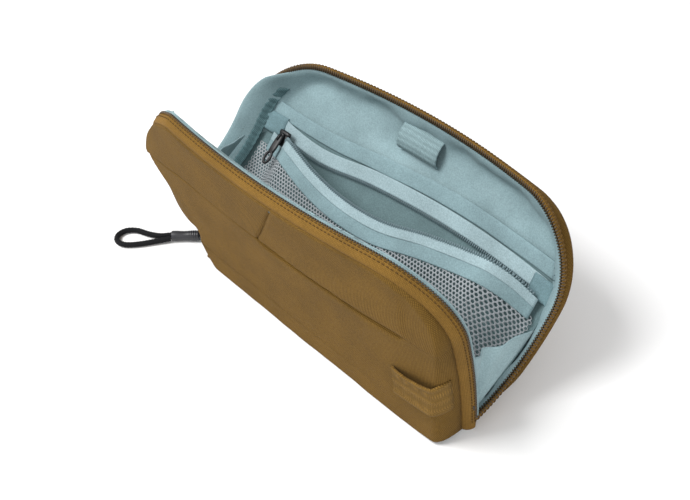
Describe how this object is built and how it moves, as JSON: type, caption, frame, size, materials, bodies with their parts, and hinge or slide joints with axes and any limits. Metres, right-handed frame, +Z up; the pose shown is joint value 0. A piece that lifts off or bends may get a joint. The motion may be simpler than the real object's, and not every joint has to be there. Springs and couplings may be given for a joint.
{
  "type": "cable organizer pouch",
  "caption": "Zipped clamshell fabric pouch standing open, with mesh, slip and slit pockets, a pen loop, side gussets, a webbing grab loop and a cord zip pull.",
  "frame": {"origin": "on the table under the fold line, midway between the zip's two upright runs", "axes": "+X along the pouch to its grab loop end, +Y to the back half, +Z up"},
  "size_m": [0.2305, 0.1238, 0.1073],
  "materials": {
    "canvas": "woven mustard canvas",
    "webbing": "ribbed woven tape",
    "zip_tape": "woven zip tape, stitched",
    "zip_coil": "nylon coil",
    "lining": "smooth grey-blue lining",
    "binding": "woven binding tape",
    "elastic": "ribbed elastic",
    "mesh": "open warp-knit mesh",
    "pocket_tape": "woven tape",
    "pocket_coil": "nylon coil",
    "foam": "closed-cell foam",
    "board": "stiff sheet",
    "bag": "thin pocket cloth",
    "label": "blank woven label",
    "slider": "black painted",
    "cord": "braided cord",
    "sleeve": "heat-shrunk sleeve"
  },
  "bodies": {
    "base": {"base_canvas": "canvas", "base_board": "board", "base_lining": "lining"},
    "front_half": {"front_panel": "canvas", "yoke_left": "canvas", "yoke_right": "canvas", "front_foam": "foam", "front_lining": "lining", "slit_pocket_bag": "bag", "front_zip_tape": "zip_tape", "front_zip_coil": "zip_coil", "front_binding": "binding", "webbing_loop": "webbing", "side_label": "label", "zip_stop": "slider"},
    "back_lower": {"back_panel_lower": "canvas", "back_foam_lower": "foam", "back_lining_lower": "lining", "back_zip_tape_lower": "zip_tape", "back_zip_coil_lower": "zip_coil", "back_binding_lower": "binding", "slip_panel_lower": "lining", "gusset_left": "lining", "gusset_right": "lining"},
    "back_upper": {"back_panel_upper": "canvas", "back_foam_upper": "foam", "back_lining_upper": "lining", "back_zip_tape_upper": "zip_tape", "back_zip_coil_upper": "zip_coil", "back_binding_upper": "binding", "slip_panel_upper": "lining", "slip_hem": "lining", "pen_loop": "elastic", "pocket_tape_upper": "pocket_tape", "pocket_coil_upper": "pocket_coil", "pocket_tab_left": "binding", "pocket_tab_right": "binding"},
    "mesh_front": {"mesh_panel": "mesh", "mesh_hem": "pocket_tape", "pocket_tape_lower": "pocket_tape", "pocket_coil_lower": "pocket_coil"},
    "pocket_slider": {"pocket_slider": "slider"},
    "pocket_puller": {"pocket_puller": "slider"},
    "main_slider": {"main_slider": "slider"},
    "pull": {"slider_link": "slider", "pull_sleeve": "sleeve", "pull_cord": "cord"}
  },
  "joints": [
    {"name": "back_fold", "type": "hinge", "parent": "base", "child": "back_lower", "pos_m": [0, 0, 0.011], "axis": [1, 0, 0], "range_deg": [0, 59]},
    {"name": "back_unbend", "type": "hinge", "parent": "back_lower", "child": "back_upper", "pos_m": [0, 0.04286, 0.03675], "axis": [1, 0, 0], "range_deg": [-27, 0]},
    {"name": "mouth_fold", "type": "hinge", "parent": "back_lower", "child": "front_half", "pos_m": [0, 0, 0.011], "axis": [1, 0, 0], "range_deg": [-74, 0], "deforming": ["gusset_left", "gusset_right"]},
    {"name": "mesh_fall", "type": "hinge", "parent": "back_lower", "child": "mesh_front", "pos_m": [0, 0.00961, 0.0086], "axis": [1, 0, 0], "range_deg": [-26, 0]},
    {"name": "pocket_zip", "type": "slide", "parent": "back_upper", "child": "pocket_slider", "axis": [1, 0, 0], "range_m": [0, 0.168]},
    {"name": "pocket_pull", "type": "hinge", "parent": "pocket_slider", "child": "pocket_puller", "pos_m": [-0.082, 0.05146, 0.04317], "axis": [1, 0, 0], "range_deg": [-60, 0]},
    {"name": "zip_travel", "type": "hinge", "parent": "front_half", "child": "main_slider", "pos_m": [-0.076, -0.0088, 0.04384], "axis": [0, 0.9659, 0.2588], "range_deg": [0, 50]},
    {"name": "pull_swing", "type": "hinge", "parent": "main_slider", "child": "pull", "pos_m": [-0.0893, -0.0046, 0.0092], "axis": [0, 0, 1], "range_deg": [-40, 0]}
  ],
  "couplings": [
    {"joint": "back_unbend", "follows": "back_fold", "ratio": -0.45763},
    {"joint": "mouth_fold", "follows": "back_fold", "ratio": -1.2542},
    {"joint": "mesh_fall", "follows": "back_fold", "ratio": -0.44068}
  ]
}
